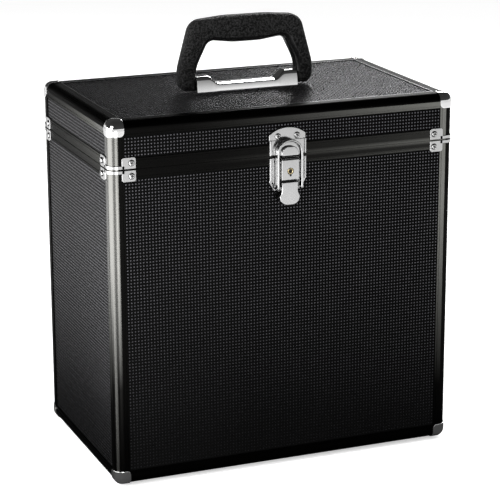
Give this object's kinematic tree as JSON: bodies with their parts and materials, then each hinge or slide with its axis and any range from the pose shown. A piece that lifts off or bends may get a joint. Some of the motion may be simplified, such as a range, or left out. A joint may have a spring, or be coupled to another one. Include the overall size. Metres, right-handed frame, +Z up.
{
  "type": "record carrying case",
  "caption": "Upright box case with hinged lid, draw latch, fold-down handle and metal edge profiles, for 12-inch records.",
  "frame": {"origin": "on the floor, below the middle of the case", "axes": "+Z up, -Y is the front with the latch, +X to the right seen from the front"},
  "size_m": [0.355, 0.2323, 0.4292],
  "materials": {
    "studded_panel": "fibreboard faced with black embossed sheet",
    "black_extrusion": "black anodised, satin",
    "chrome_trim": "bright nickel plated steel",
    "plated_steel": "zinc plated",
    "handle_moulding": "leather-grained black",
    "lock_brass": "turned brass",
    "foot_rubber": "matte",
    "lining": "thin black foam sheet"
  },
  "bodies": {
    "case_body": {"back_panel": "studded_panel", "body_brace_screws": "chrome_trim", "body_corner_braces": "chrome_trim", "body_hinge_rivets": "plated_steel", "body_lining": "lining", "body_rim_back": "black_extrusion", "body_rim_front": "black_extrusion", "body_rim_left": "black_extrusion", "body_rim_right": "black_extrusion", "bottom_corner_caps": "chrome_trim", "bottom_edge_back": "black_extrusion", "bottom_edge_front": "black_extrusion", "bottom_edge_left": "black_extrusion", "bottom_edge_right": "black_extrusion", "bottom_panel": "studded_panel", "corner_post_back_left": "black_extrusion", "corner_post_back_right": "black_extrusion", "corner_post_front_left": "black_extrusion", "corner_post_front_right": "black_extrusion", "foot_screws": "plated_steel", "front_panel": "studded_panel", "hinge_body_leaves": "plated_steel", "hinge_pins": "plated_steel", "latch_base": "chrome_trim", "latch_base_rivets": "plated_steel", "latch_pivot_pin": "chrome_trim", "left_panel": "studded_panel", "right_panel": "studded_panel", "rubber_feet": "foot_rubber"},
    "lid": {"handle_bracket": "chrome_trim", "handle_bracket_screws": "plated_steel", "handle_pivot_pins": "chrome_trim", "hinge_lid_leaves": "plated_steel", "latch_catch": "chrome_trim", "latch_catch_screws": "chrome_trim", "lid_back_panel": "studded_panel", "lid_brace_screws": "chrome_trim", "lid_corner_braces": "chrome_trim", "lid_corner_caps": "chrome_trim", "lid_corner_posts": "black_extrusion", "lid_front_panel": "studded_panel", "lid_hinge_rivets": "plated_steel", "lid_left_panel": "studded_panel", "lid_lining": "lining", "lid_right_panel": "studded_panel", "lid_rim_back": "black_extrusion", "lid_rim_front": "black_extrusion", "lid_rim_left": "black_extrusion", "lid_rim_right": "black_extrusion", "lid_top_panel": "studded_panel", "top_edge_back": "black_extrusion", "top_edge_front": "black_extrusion", "top_edge_left": "black_extrusion", "top_edge_right": "black_extrusion"},
    "carry_handle": {"handle": "handle_moulding"},
    "lever": {"latch_lever": "chrome_trim", "loop_pins": "chrome_trim"},
    "loop": {"latch_loop": "chrome_trim"},
    "lock": {"lock_plug": "lock_brass", "lock_cam": "plated_steel"}
  },
  "joints": [
    {"name": "lid_hinge", "type": "hinge", "parent": "case_body", "child": "lid", "pos_m": [0, 0.1089, 0.312], "axis": [-1, 0, 0], "range_deg": [0, 100]},
    {"name": "handle_swing", "type": "hinge", "parent": "lid", "child": "carry_handle", "pos_m": [0, 0, 0.3665], "axis": [1, 0, 0], "range_deg": [-90, 90]},
    {"name": "latch_lever", "type": "hinge", "parent": "case_body", "child": "lever", "pos_m": [0, -0.1112, 0.3065], "axis": [-1, 0, 0], "range_deg": [0, 100]},
    {"name": "latch_loop", "type": "hinge", "parent": "lever", "child": "loop", "pos_m": [0, -0.112, 0.2819], "axis": [-1, 0, 0], "range_deg": [-100, 0]},
    {"name": "lock_turn", "type": "hinge", "parent": "lever", "child": "lock", "pos_m": [0, -0.112, 0.2977], "axis": [0, 1, 0], "range_deg": [0, 90]}
  ],
  "couplings": [
    {"joint": "latch_loop", "follows": "latch_lever", "ratio": -1}
  ]
}
